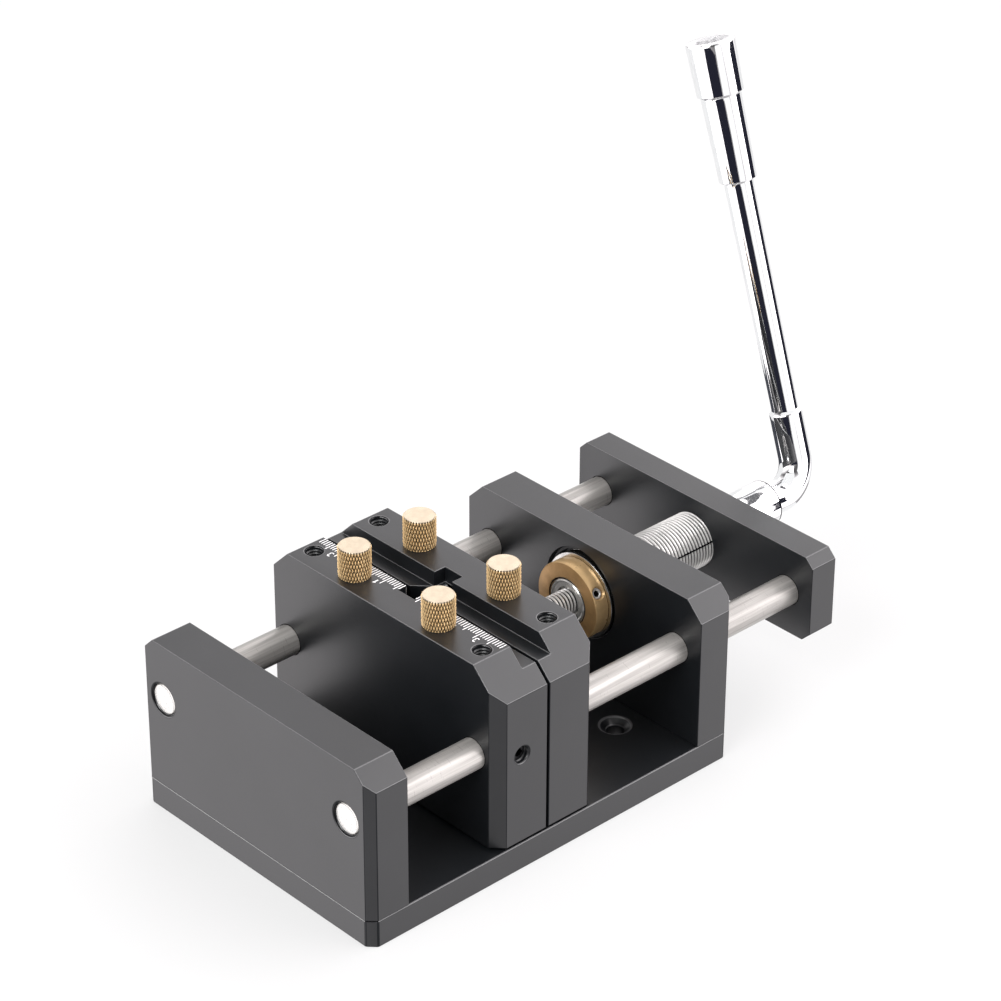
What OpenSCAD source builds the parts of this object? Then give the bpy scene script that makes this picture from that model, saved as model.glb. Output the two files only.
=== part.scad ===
// Self-centring bench vise with a left and right hand screw.
// X runs along the guide rods towards the crank, Z is up, and the origin is the
// centre of the underside of the base plate. The jaws are drawn nearly closed.

/* [Base] */
// Length of the base plate along the rods
base_len = 142; // [136:1:170]
// Width of the base, the end plates, the jaws and the yoke
body_w = 100; // [96:1:120]
// Thickness of the base plate
base_t = 9; // [7:0.5:12]
// Chamfer on the upright outer corners of the base and the end plates
corner_cut = 2.6; // [1:0.1:4]
// Distance from the mounting holes to the ends of the base plate
mount_inset_x = 23.5; // [22.5:0.5:26]
// Distance from the mounting holes to the sides of the base plate
mount_inset_y = 25; // [20:1:30]
// Diameter of the mounting holes
mount_hole_d = 5.5; // [4.5:0.1:6.5]
// Diameter of the countersink of a mounting hole
mount_head_d = 9.6; // [8:0.1:11]

/* [End plates] */
// Thickness of the front plate
front_plate_t = 14; // [12:0.5:18]
// Thickness of the support plate that carries the screw
support_plate_t = 14; // [13:0.5:18]
// Height of both end plates above the base plate
plate_h = 49; // [46:1:60]
// Chamfer along the upper sides of the end plates
plate_cut = 6; // [2:0.5:9]

/* [Guide rods] */
// Height of the rods and of the screw above the base plate
axis_h = 30.5; // [29:0.5:36]
// Diameter of the guide rods
rod_d = 9.5; // [8:0.5:11]
// Distance from the middle of a rod to the side of the body
rod_inset = 10; // [9:0.5:13]
// How far the rod ends lie behind the front face at rest
rod_recess = 0.6; // [0.2:0.1:2]
// How deep a rod sits in the yoke
rod_seat = 5.4; // [4:0.2:6]
// Chamfer round the rod holes in the front face
rod_hole_cut = 0.7; // [0.3:0.1:1.5]
// Running clearance between a sliding or turning shaft and its bore, on the radius
run_clear = 0.05; // [0.02:0.01:0.09]

/* [Jaws] */
// Thickness of each jaw
jaw_t = 19; // [17:0.5:22]
// Height of each jaw
jaw_h = 59; // [54:1:66]
// Gap between the jaws and the base plate
jaw_float = 1; // [0.5:0.1:2]
// Gap between the jaws at rest
jaw_gap = 1; // [0.5:0.1:3]
// Gap between the front plate and the front jaw at rest
front_gap = 33.3; // [32.5:0.1:36]
// Chamfer along the upper sides of the jaws
jaw_top_cut = 10; // [4:0.5:12]
// Chamfer on the upright outer corners of the jaws
jaw_corner_cut = 3.7; // [1:0.1:5]
// Width of the step along the clamping edge
step_w = 5; // [3:0.5:6]
// Depth of the step along the clamping edge
step_d = 5; // [3:0.5:8]
// Depth of the upright vee groove in the clamping face
vee_d = 9; // [6:0.5:10]
// Width of the notch over the vee
notch_w = 7.4; // [5:0.2:9]
// Depth of the notch in the top of the front jaw
front_notch_d = 3.2; // [2:0.1:4]
// Depth of the notch in the top of the rear jaw
rear_notch_d = 4.1; // [2:0.1:5]
// Wall diameter of the threaded holes in the jaws
jaw_hole_d = 5.2; // [4:0.1:6]
// Chamfer on the mouths of the threaded holes
jaw_hole_cut = 0.4; // [0.2:0.1:0.8]
// Depth of the threaded holes in the tops of the jaws
jaw_hole_depth = 15; // [12:0.5:17]
// Distance from a free hole of a jaw to the side of the jaw
free_hole_inset = 14; // [12:0.5:17]
// Distance from a thumb screw to the free hole beside it
thumb_spacing = 18; // [14:1:22]

/* [Thumb screws] */
// Diameter of the knurled head
knob_d = 10; // [8:0.5:12]
// Height of the knurled head
knob_h = 10; // [6:0.5:14]
// Length of the screw below the head
thumb_len = 11; // [8:0.5:12]
// Chamfer on the rim of the head
knob_cut = 0.4; // [0.2:0.1:0.8]

/* [Yoke] */
// Thickness of the yoke plate
yoke_t = 10; // [9:0.5:14]
// Height of the yoke plate
yoke_h = 29; // [26:1:34]
// Gap between the support plate and the yoke at rest
yoke_gap = 33.2; // [32.6:0.1:36]
// Chamfer on the four long edges of the yoke
yoke_cut = 3; // [1:0.5:5]

/* [Screw] */
// Pitch of the right hand and of the left hand thread
thread_pitch = 1.25; // [1:0.05:2]
// Diameter of the right hand thread that moves the yoke
main_thread_d = 18; // [16:0.5:20]
// How far the main thread runs past the yoke at rest
thread_end = 1; // [0.8:0.1:3]
// Diameter of the journal that turns in the support plate
journal_d = 15; // [13:0.5:15.5]
// How far the end of the journal stands in front of the collar
nose_out = 0.1; // [0.1:0.1:1]
// Chamfer on the end of the journal
nose_cut = 0.6; // [0.3:0.1:0.9]
// Width of the flat rim round the dish in the end of the journal
nose_rim = 0.6; // [0.4:0.1:1]
// Depth of the dish in the end of the journal
nose_dish = 0.3; // [0.2:0.1:0.6]
// Gap round the stud where it enters the journal
nose_gap = 0.6; // [0.3:0.1:1]
// Depth of the gap round the stud
nose_gap_depth = 1.5; // [1:0.1:3]
// Diameter of the flange behind the journal
flange_d = 24; // [20:0.5:25]
// Thickness of the flange behind the journal
flange_t = 3; // [2:0.5:4]
// Size across flats of the hexagon for the crank
hex_af = 10; // [8:0.5:11]
// Length of the hexagon
hex_len = 11; // [8:0.5:14]
// Diameter of the left hand stud that moves the rear jaw
stud_d = 8; // [6:0.5:8.4]
// How deep the stud sits in the spindle
stud_seat = 17; // [12:1:24]
// Distance from the bottom of the vee to the end of the stud
stud_back = 0.7; // [0.3:0.1:2]
// Diameter of the pin that locks the stud in the spindle
stud_pin_d = 2.5; // [2:0.1:3]
// Distance from the front of the collar to the pin's hole
stud_pin_in = 2.1; // [1.5:0.1:2.4]

/* [Thrust bearings] */
// Outer diameter of the bearing races
race_d = 27.4; // [26:0.2:28]
// Thickness of a bearing race
race_t = 1; // [0.8:0.1:1.4]
// How far the front race stands out of the support plate
race_out = 0.8; // [0.5:0.1:1]
// Clearance round the races in the support plate, on the radius
race_clear = 0.5; // [0.2:0.1:0.6]
// Depth of the relief beside the front pocket
relief_depth = 1.2; // [0.6:0.1:2]
// How far the relief is bored off the screw's axis, sideways and up
relief_shift = 0.8; // [0.4:0.1:1.2]
// Space between two races, taken by the needles
needle_gap = 2; // [1.6:0.1:2.4]
// Clearance over a needle between the races
needle_clear = 0.04; // [0.02:0.01:0.1]
// Length of a needle
needle_len = 3.6; // [3:0.1:4]
// Number of needles in each bearing
needle_count = 18; // [12:1:20]
// Thickness of the needle cage
cage_t = 1.4; // [1:0.1:1.6]

/* [Collar] */
// Diameter of the brass stop collar
collar_d = 25.2; // [22:0.2:26]
// Thickness of the brass stop collar
collar_t = 5.2; // [4.6:0.1:7]
// Chamfer on the rims of the collar
collar_cut = 0.4; // [0.2:0.1:0.8]
// Diameter of the set screw in the collar
collar_screw_d = 3.6; // [3:0.1:4]
// Length of the set screw in the collar
collar_screw_len = 4; // [3:0.1:4.5]

/* [Crank] */
// Distance from the mouth of the short socket to the line of the arm
crank_reach = 37.5; // [34:0.5:44]
// Distance from the screw to the tip of the arm
crank_arm = 144.7; // [130:1:180]
// How far the arm leans over, in degrees
crank_lean = 18.6; // [0:0.2:45]
// Diameter of the short socket
crank_socket_d = 15; // [14:0.5:18]
// Length of the short socket
crank_socket_len = 21.2; // [16:0.2:24]
// Depth of the hexagon in a socket
crank_hex_depth = 12.5; // [12:0.5:16]
// Clearance over the flats in a socket
crank_hex_clear = 0.15; // [0.1:0.05:0.3]
// Gap between the mouth of the short socket and the screw thread
crank_seat_gap = 0.3; // [0.2:0.1:0.5]
// Diameter of the bent tube
tube_d = 10.5; // [9.5:0.5:12]
// Bend radius on the middle of the tube
tube_bend_r = 10; // [8:0.5:12]
// Distance from the screw to the end of the thick tube
tube_end = 25.6; // [20:0.5:30]
// Diameter of the slim shank at its foot
shank_foot_d = 8.5; // [7.5:0.1:10]
// Diameter of the slim shank at its head
shank_head_d = 9.2; // [8:0.1:10.4]
// Length of the upper sleeve
sleeve_len = 27.2; // [20:0.2:36]
// Diameter of the upper sleeve at its foot
sleeve_foot_d = 11.9; // [11:0.1:13]
// Diameter of the upper sleeve at its head
sleeve_head_d = 12.8; // [12:0.1:14]
// Length of the long socket at the tip
head_len = 16.9; // [14:0.1:22]
// Diameter of the long socket at its foot
head_foot_d = 14.8; // [14.5:0.1:17]
// Diameter of the long socket at the tip
head_tip_d = 15.5; // [15:0.1:18]
// Length of the tapered shoulder under each wider part of the arm
shoulder = 1.2; // [0.6:0.1:2]

/* [Screws] */
// Diameter of the screws that hold the end plates
base_screw_d = 6; // [5:0.5:7]
// Head diameter of the screws that hold the end plates
base_screw_head_d = 11.4; // [10:0.2:12]
// Length of the screws that hold the end plates
base_screw_len = 20; // [16:1:26]
// Distance from a screw of an end plate to the side of the plate
base_screw_inset = 18; // [16:1:22]
// Diameter of the screws that hold the rods in the yoke
yoke_screw_d = 5; // [4:0.5:5.5]
// Head diameter of the screws that hold the rods in the yoke
yoke_screw_head_d = 9.2; // [8:0.2:9.4]
// Length of the screws that hold the rods in the yoke
yoke_screw_len = 14; // [12:1:20]
// Length of the set screws that lock the front jaw to the rods
jaw_screw_len = 3.5; // [3:0.1:4]
// Depth of the hexagon in a screw head or a set screw
key_depth = 1.8; // [1.2:0.1:2]
// Length of a full thread below a blind hole's screw
thread_spare = 2; // [1:0.5:4]

/* [Hidden] */
$fn = 64;

// How far a cut runs past the face that it opens
overrun = 1;
// Number of sides of a hexagon
hex_sides = 6;
// Ratio of the corner radius of a hexagon to half its size across flats
hex_share = 1 / cos(180 / hex_sides);

// Thread form as shares of the pitch
thread_depth_share = 0.6134;
crest_share = 0.25;
root_share = 0.25;
// Depth of a countersunk head as a share of its overhang on one side
head_depth_share = 1;
// Size across flats of a key hexagon as a share of the screw diameter
key_share = 0.5;
// Angle of the collar's set screw above the horizontal, towards the right hand rod
collar_screw_angle = 32;

axis_z = base_t + axis_h;
top_z = base_t + jaw_float + jaw_h;
side_y = body_w / 2;
rod_y = side_y - rod_inset;
free_hole_y = side_y - free_hole_inset;
thumb_y = free_hole_y - thumb_spacing;
front_x = -base_len / 2;
front_plate_back = front_x + front_plate_t;
rear_x = base_len / 2;
support_x = rear_x - support_plate_t;

// Jaws, from front to rear
jaw1_x = front_plate_back + front_gap;
jaw1_back = jaw1_x + jaw_t;
jaw2_x = jaw1_back + jaw_gap;
jaw2_back = jaw2_x + jaw_t;
strip_w = jaw_t - step_w;
hole_row1_x = jaw1_x + strip_w / 2;
hole_row2_x = jaw2_x + step_w + strip_w / 2;

// Yoke and rods
yoke_x = rear_x + yoke_gap;
yoke_back = yoke_x + yoke_t;
rod_front = front_x + rod_recess;
rod_back = yoke_x + rod_seat;

// Bearings and screw
bearing_t = 2 * race_t + needle_gap;
front_pocket = bearing_t - race_out;
rear_pocket = bearing_t + flange_t;
race_r = race_d / 2;
pocket_r = race_r + race_clear;
race_bore_r = journal_d / 2 + race_clear;
front_race_x = support_x - race_out;
front_needle_x = front_race_x + race_t;
front_house_x = front_needle_x + needle_gap;
rear_house_x = rear_x - rear_pocket;
rear_needle_x = rear_house_x + race_t;
rear_race_x = rear_needle_x + needle_gap;
flange_x = rear_x - flange_t;
collar_x = front_race_x - collar_t;
nose_x = collar_x - nose_out;
journal_x = nose_x + nose_cut;
nose_r = journal_d / 2 - nose_cut;
dish_r = nose_r - nose_rim;
thread_back = yoke_back + thread_end;
hex_back = thread_back + hex_len;
stud_x = jaw2_x + vee_d + stud_back;
stud_back_x = nose_x + stud_seat;
stud_pin_x = collar_x + stud_pin_in + stud_pin_d / 2;
thread_depth = thread_pitch * thread_depth_share;
needle_mid_r = (journal_d + race_d) / 4;
cage_in_r = race_bore_r;
cage_out_r = race_r - run_clear;

// Crank
crank_x = thread_back + crank_seat_gap;
arm_x = crank_x + crank_reach;
head_z = crank_arm - head_len;
sleeve_z = head_z - sleeve_len;

// A bar or a hole along X
module bar_x(d, x0, x1, y = 0, z = axis_z) {
    translate([x0, y, z])
        rotate([0, 90, 0])
            cylinder(d = d, h = x1 - x0);
}

// A cone along X
module cone_x(d0, d1, x0, x1, y = 0, z = axis_z) {
    translate([x0, y, z])
        rotate([0, 90, 0])
            cylinder(d1 = d0, d2 = d1, h = x1 - x0);
}

// A hexagonal bar or hole along X
module hex_x(af, x0, x1, y = 0, z = axis_z) {
    translate([x0, y, z])
        rotate([0, 90, 0])
            cylinder(d = af * hex_share, h = x1 - x0, $fn = hex_sides);
}

// Points of the crests and roots of a thread, radius first, from one length to another
function thread_points(d, from, to) =
    let (
        turns = floor((to - from) / thread_pitch),
        start = from + (to - from - turns * thread_pitch) / 2,
        crest = d / 2,
        root = crest - thread_depth,
        flank = thread_pitch * (1 - crest_share - root_share) / 2,
        flat = thread_pitch * crest_share)
    concat([[root, from]],
        [for (i = [0 : turns - 1], p = [[root, 0], [crest, flank], [crest, flank + flat],
            [root, 2 * flank + flat]]) [p[0], p[1] + start + i * thread_pitch]],
        [[root, to]]);

// A plate across X whose two upper side edges are chamfered
module topped_plate(x0, t, z0, h, cut) {
    translate([x0, 0, z0])
        rotate([90, 0, 90])
            linear_extrude(height = t)
                polygon([[-side_y, 0], [side_y, 0], [side_y, h - cut], [side_y - cut, h],
                    [cut - side_y, h], [-side_y, h - cut]]);
}

// An upright block between two X values, with its corners chamfered in plan
module plan_block(x0, x1, z0, h, cut0, cut1) {
    translate([0, 0, z0])
        linear_extrude(height = h)
            polygon([[x0, cut0 - side_y], [x0 + cut0, -side_y],
                [x1 - cut1, -side_y], [x1, cut1 - side_y],
                [x1, side_y - cut1], [x1 - cut1, side_y],
                [x0 + cut0, side_y], [x0, side_y - cut0]]);
}

// Copies of the children at both rods
module at_rods() {
    for (side = [-1, 1])
        translate([0, side * rod_y, 0])
            children();
}

// A countersunk screw along Z, head down at zero, with its key hexagon
module flat_screw(d, head_d, len) {
    head_t = (head_d - d) / 2 * head_depth_share;
    difference() {
        union() {
            cylinder(d1 = head_d, d2 = d, h = head_t);
            cylinder(d = d, h = len);
        }
        translate([0, 0, -overrun])
            cylinder(d = d * key_share * hex_share, h = key_depth + overrun, $fn = hex_sides);
    }
}

// The hole for a countersunk screw, with its mouth at zero
module flat_hole(d, head_d, depth) {
    head_t = (head_d - d) / 2 * head_depth_share;
    cylinder(d1 = head_d, d2 = d, h = head_t);
    translate([0, 0, -overrun])
        cylinder(d = head_d, h = overrun);
    cylinder(d = d, h = depth);
}

// A headless set screw along Z, with its key hexagon at the top
module set_screw(d, len) {
    difference() {
        cylinder(d = d, h = len);
        translate([0, 0, len - key_depth])
            cylinder(d = d * key_share * hex_share, h = key_depth + overrun, $fn = hex_sides);
    }
}

// Places of the screws that hold the end plates
base_screw_places = [for (x = [front_x + front_plate_t / 2, rear_x - support_plate_t / 2],
    side = [-1, 1]) [x, side * (side_y - base_screw_inset)]];

module base_plate() {
    color("#2b2b2d")
        difference() {
            plan_block(front_x, rear_x, 0, base_t, corner_cut, corner_cut);
            for (sx = [-1, 1], sy = [-1, 1])
                translate([sx * (rear_x - mount_inset_x), sy * (side_y - mount_inset_y), base_t])
                    rotate([180, 0, 0])
                        flat_hole(mount_hole_d, mount_head_d, base_t + overrun);
            for (p = base_screw_places)
                translate([p[0], p[1], 0])
                    flat_hole(base_screw_d, base_screw_head_d, base_t + overrun);
        }
}

// Threaded holes in the feet of the end plates
module foot_holes() {
    for (p = base_screw_places)
        translate([p[0], p[1], base_t - overrun])
            cylinder(d = base_screw_d, h = base_screw_len - base_t + overrun + thread_spare);
}

module front_plate() {
    color("#2f2f31")
        difference() {
            intersection() {
                topped_plate(front_x, front_plate_t, base_t, plate_h, plate_cut);
                plan_block(front_x, rear_x, 0, base_t + plate_h, corner_cut, corner_cut);
            }
            at_rods() {
                bar_x(rod_d + 2 * run_clear, front_x - overrun, front_plate_back + overrun);
                cone_x(rod_d + 2 * (run_clear + rod_hole_cut), rod_d + 2 * run_clear,
                    front_x, front_x + rod_hole_cut);
            }
            foot_holes();
        }
}

module support_plate() {
    color("#2f2f31")
        difference() {
            intersection() {
                topped_plate(support_x, support_plate_t, base_t, plate_h, plate_cut);
                plan_block(front_x, rear_x, 0, base_t + plate_h, corner_cut, corner_cut);
            }
            at_rods()
                bar_x(rod_d + 2 * run_clear, support_x - overrun, rear_x + overrun);
            bar_x(journal_d + 2 * run_clear, support_x - overrun, rear_x + overrun);
            bar_x(2 * pocket_r, support_x - overrun, support_x + front_pocket);
            bar_x(2 * pocket_r, support_x - overrun, support_x + relief_depth,
                relief_shift, axis_z + relief_shift);
            bar_x(2 * pocket_r, rear_house_x, rear_x + overrun);
            foot_holes();
        }
}

module base_screws() {
    color("#3a3a3c")
        for (p = base_screw_places)
            translate([p[0], p[1], 0])
                flat_screw(base_screw_d, base_screw_head_d, base_screw_len);
}

// A flat bearing race that starts at an X value
module race(x0, bore_r) {
    color("#c9c9c6")
        difference() {
            bar_x(race_d, x0, x0 + race_t);
            bar_x(2 * bore_r, x0 - overrun, x0 + race_t + overrun);
        }
}

// Places the children at each needle, with Z pointing outwards along the needle
module at_needles(x0) {
    for (i = [0 : needle_count - 1])
        translate([x0 + needle_gap / 2, 0, axis_z])
            rotate([i * 360 / needle_count, 0, 0])
                translate([0, 0, needle_mid_r - needle_len / 2])
                    children();
}

module needle_cage(x0) {
    slot = needle_gap + needle_clear;
    color("#8d8d8a")
        difference() {
            bar_x(2 * cage_out_r, x0 + (needle_gap - cage_t) / 2, x0 + (needle_gap + cage_t) / 2);
            bar_x(2 * cage_in_r, x0 - overrun, x0 + needle_gap + overrun);
            at_needles(x0)
                translate([-slot / 2, -slot / 2, -needle_clear])
                    cube([slot, slot, needle_len + 2 * needle_clear]);
        }
}

module needles(x0) {
    color("#d8d8d5")
        at_needles(x0)
            cylinder(d = needle_gap - needle_clear, h = needle_len);
}

module front_shaft_race() { race(front_race_x, journal_d / 2); }
module front_housing_race() { race(front_house_x, race_bore_r); }
module rear_housing_race() { race(rear_house_x, race_bore_r); }
module rear_shaft_race() { race(rear_race_x, journal_d / 2); }
module front_needle_cage() { needle_cage(front_needle_x); }
module front_needles() { needles(front_needle_x); }
module rear_needle_cage() { needle_cage(rear_needle_x); }
module rear_needles() { needles(rear_needle_x); }

module spindle() {
    color("#d2d2cf")
        difference() {
            union() {
                translate([0, 0, axis_z])
                    rotate([0, 90, 0])
                        rotate_extrude()
                            polygon(concat([[0, nose_x], [nose_r, nose_x],
                                [journal_d / 2, journal_x],
                                [journal_d / 2, flange_x], [flange_d / 2, flange_x],
                                [flange_d / 2, rear_x]],
                                thread_points(main_thread_d, rear_x, thread_back),
                                [[0, thread_back]]));
                hex_x(hex_af, rear_x, hex_back);
            }
            bar_x(stud_d, nose_x - overrun, stud_back_x);
            bar_x(stud_d + 2 * nose_gap, nose_x - overrun, nose_x + nose_gap_depth);
            bar_x(2 * dish_r, nose_x - overrun, nose_x + nose_dish);
            pin_hole();
        }
}

// The cross hole for the pin of the stud
module pin_hole() {
    translate([stud_pin_x, 0, axis_z - journal_d / 2 - overrun])
        cylinder(d = stud_pin_d, h = journal_d + 2 * overrun);
}

module left_hand_stud() {
    color("#c4c4c1")
        difference() {
            translate([0, 0, axis_z])
                rotate([0, 90, 0])
                    rotate_extrude()
                        polygon(concat([[0, stud_x]],
                            thread_points(stud_d, stud_x, stud_back_x), [[0, stud_back_x]]));
            pin_hole();
        }
}

module stud_pin() {
    color("#9a9a98")
        translate([stud_pin_x, 0, axis_z - journal_d / 2 + run_clear])
            cylinder(d = stud_pin_d, h = journal_d - 2 * run_clear);
}

// Places the children on the journal under the collar's set screw, Z outwards
module at_collar_screw() {
    translate([collar_x + collar_t / 2, 0, axis_z])
        rotate([90 - collar_screw_angle, 0, 0])
            translate([0, 0, journal_d / 2])
                children();
}

module stop_collar() {
    color("#b8934a")
        difference() {
            translate([0, 0, axis_z])
                rotate([0, 90, 0])
                    rotate_extrude()
                        polygon([[journal_d / 2, collar_x], [collar_d / 2 - collar_cut, collar_x],
                            [collar_d / 2, collar_x + collar_cut],
                            [collar_d / 2, front_race_x - collar_cut],
                            [collar_d / 2 - collar_cut, front_race_x],
                            [journal_d / 2, front_race_x]]);
            at_collar_screw()
                translate([0, 0, -overrun])
                    cylinder(d = collar_screw_d, h = collar_d);
        }
}

module collar_set_screw() {
    color("#6f6f70")
        at_collar_screw()
            set_screw(collar_screw_d, collar_screw_len);
}

// Half outline of the straight arm above the bend, radius first
module arm_outline() {
    shank_foot = shank_foot_d / 2;
    shank_head = shank_head_d / 2;
    sleeve_foot = sleeve_foot_d / 2;
    sleeve_head = sleeve_head_d / 2;
    polygon([[0, tube_bend_r], [tube_d / 2, tube_bend_r],
        [tube_d / 2, tube_end - shoulder], [shank_foot, tube_end],
        [shank_head, sleeve_z - shoulder], [sleeve_foot, sleeve_z],
        [sleeve_head, head_z - shoulder], [head_foot_d / 2, head_z],
        [head_tip_d / 2, crank_arm - shoulder / 2],
        [(head_tip_d - shoulder) / 2, crank_arm], [0, crank_arm]]);
}

module crank_wrench() {
    hole_af = hex_af + crank_hex_clear;
    color("#dfe1e4")
        translate([arm_x, 0, axis_z])
            rotate([-crank_lean, 0, 0])
                difference() {
                    union() {
                        rotate_extrude()
                            arm_outline();
                        translate([-tube_bend_r, 0, tube_bend_r])
                            rotate([90, 0, 0])
                                rotate([0, 0, -90])
                                    rotate_extrude(angle = 90)
                                        translate([tube_bend_r, 0])
                                            circle(d = tube_d);
                        bar_x(tube_d, crank_socket_len - crank_reach, -tube_bend_r, 0, 0);
                        cone_x(crank_socket_d, tube_d, crank_socket_len - crank_reach,
                            crank_socket_len - crank_reach + shoulder, 0, 0);
                        bar_x(crank_socket_d, -crank_reach, crank_socket_len - crank_reach, 0, 0);
                    }
                    rotate([crank_lean, 0, 0])
                        hex_x(hole_af, -crank_reach - overrun, crank_hex_depth - crank_reach, 0, 0);
                    translate([0, 0, crank_arm - crank_hex_depth])
                        cylinder(d = hole_af * hex_share, h = crank_hex_depth + overrun,
                            $fn = hex_sides);
                }
}

module yoke_plate() {
    h = yoke_h / 2;
    c = yoke_cut;
    color("#2f2f31")
        difference() {
            translate([yoke_x, 0, axis_z])
                rotate([90, 0, 90])
                    linear_extrude(height = yoke_t)
                        polygon([[c - side_y, -h], [side_y - c, -h],
                            [side_y, c - h], [side_y, h - c],
                            [side_y - c, h], [c - side_y, h],
                            [-side_y, h - c], [-side_y, c - h]]);
            bar_x(main_thread_d + 2 * run_clear, yoke_x - overrun, yoke_back + overrun);
            at_rods() {
                bar_x(rod_d, yoke_x - overrun, rod_back);
                translate([yoke_back, 0, axis_z])
                    rotate([0, -90, 0])
                        flat_hole(yoke_screw_d, yoke_screw_head_d, yoke_t);
            }
        }
}

module guide_rod(side) {
    y = side * rod_y;
    color("#c8c7c3")
        difference() {
            bar_x(rod_d, rod_front, rod_back, y);
            bar_x(yoke_screw_d, yoke_back - yoke_screw_len - thread_spare, rod_back + overrun, y);
        }
}

module guide_rod_left() { guide_rod(1); }
module guide_rod_right() { guide_rod(-1); }

module yoke_screws() {
    color("#3a3a3c")
        at_rods()
            translate([yoke_back, 0, axis_z])
                rotate([0, -90, 0])
                    flat_screw(yoke_screw_d, yoke_screw_head_d, yoke_screw_len);
}

// A threaded hole of a jaw, with its mouth at zero and its depth below
module threaded_hole(depth) {
    translate([0, 0, -depth])
        cylinder(d = jaw_hole_d, h = depth + overrun);
    translate([0, 0, -jaw_hole_cut])
        cylinder(d1 = jaw_hole_d, d2 = jaw_hole_d + 4 * jaw_hole_cut, h = 2 * jaw_hole_cut);
}

// A jaw between two X values that clamps on the face at clamp_x. The clamping
// direction is 1 for a face that looks to the rear and -1 for one that looks forwards.
module jaw(x0, clamp_x, dir, notch_d, row_x, cut0, cut1) {
    z0 = base_t + jaw_float;
    step_x = clamp_x - dir * step_w;
    difference() {
        intersection() {
            topped_plate(x0, jaw_t, z0, jaw_h, jaw_top_cut);
            plan_block(x0, x0 + jaw_t, z0, jaw_h, cut0, cut1);
        }
        // Step along the clamping edge
        translate([min(step_x, clamp_x + dir * overrun), -side_y - overrun, top_z - step_d])
            cube([step_w + overrun, body_w + 2 * overrun, step_d + overrun]);
        // Upright vee below the step
        translate([0, 0, z0 - overrun])
            linear_extrude(height = jaw_h - step_d + overrun)
                polygon([[clamp_x - dir * vee_d, 0],
                    [clamp_x + dir * overrun, vee_d + overrun],
                    [clamp_x + dir * overrun, -vee_d - overrun]]);
        // Notch in the top strip
        translate([min(step_x - dir * notch_d, step_x + dir * overrun), -notch_w / 2,
                top_z - step_d])
            cube([notch_d + overrun, notch_w, step_d + overrun]);
        // Threaded holes for the thumb screws and two free ones
        for (side = [-1, 1], y = [thumb_y, free_hole_y])
            translate([row_x, side * y, top_z])
                threaded_hole(jaw_hole_depth);
    }
}

module front_jaw() {
    color("#2f2f31")
        difference() {
            jaw(jaw1_x, jaw1_back, 1, front_notch_d, hole_row1_x, jaw_corner_cut, 0);
            at_rods()
                bar_x(rod_d, jaw1_x - overrun, jaw1_back + overrun);
            jaw_screw_holes();
        }
}

// Places the children on the outer side of each rod, with Z pointing outwards
module at_jaw_screws() {
    for (side = [-1, 1])
        translate([(jaw1_x + jaw1_back) / 2, side * (rod_y + rod_d / 2), axis_z])
            rotate([-side * 90, 0, 0])
                children();
}

module jaw_screw_holes() {
    at_jaw_screws()
        translate([0, 0, rod_inset - rod_d / 2])
            threaded_hole(rod_inset - rod_d / 4);
}

module jaw_set_screws() {
    color("#6f6f70")
        at_jaw_screws()
            set_screw(jaw_hole_d, jaw_screw_len);
}

module rear_jaw() {
    color("#2f2f31")
        difference() {
            jaw(jaw2_x, jaw2_x, -1, rear_notch_d, hole_row2_x, 0, jaw_corner_cut);
            at_rods()
                bar_x(rod_d + 2 * run_clear, jaw2_x - overrun, jaw2_back + overrun);
            bar_x(stud_d + 2 * run_clear, jaw2_x - overrun, jaw2_back + overrun);
        }
}

// A knurled thumb screw that stands on the top of a jaw
module thumb_screw(x, side) {
    r = knob_d / 2;
    shank_r = jaw_hole_d / 2 - run_clear;
    color("#d9b46a")
        translate([x, side * thumb_y, top_z])
            rotate_extrude()
                polygon([[0, -thumb_len], [shank_r - knob_cut, -thumb_len],
                    [shank_r, knob_cut - thumb_len], [shank_r, 0], [r - knob_cut, 0],
                    [r, knob_cut], [r, knob_h - knob_cut], [r - knob_cut, knob_h], [0, knob_h]]);
}

module thumb_screw_1() { thumb_screw(hole_row1_x, 1); }
module thumb_screw_2() { thumb_screw(hole_row1_x, -1); }
module thumb_screw_3() { thumb_screw(hole_row2_x, 1); }
module thumb_screw_4() { thumb_screw(hole_row2_x, -1); }

base_plate();
front_plate();
support_plate();
base_screws();
front_housing_race();
rear_housing_race();
spindle();
left_hand_stud();
stud_pin();
stop_collar();
collar_set_screw();
front_shaft_race();
rear_shaft_race();
front_needle_cage();
front_needles();
rear_needle_cage();
rear_needles();
crank_wrench();
yoke_plate();
guide_rod_left();
guide_rod_right();
yoke_screws();
front_jaw();
jaw_set_screws();
rear_jaw();
thumb_screw_1();
thumb_screw_2();
thumb_screw_3();
thumb_screw_4();
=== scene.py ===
import math

import bmesh
import bpy
from mathutils import Matrix, Vector

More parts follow.
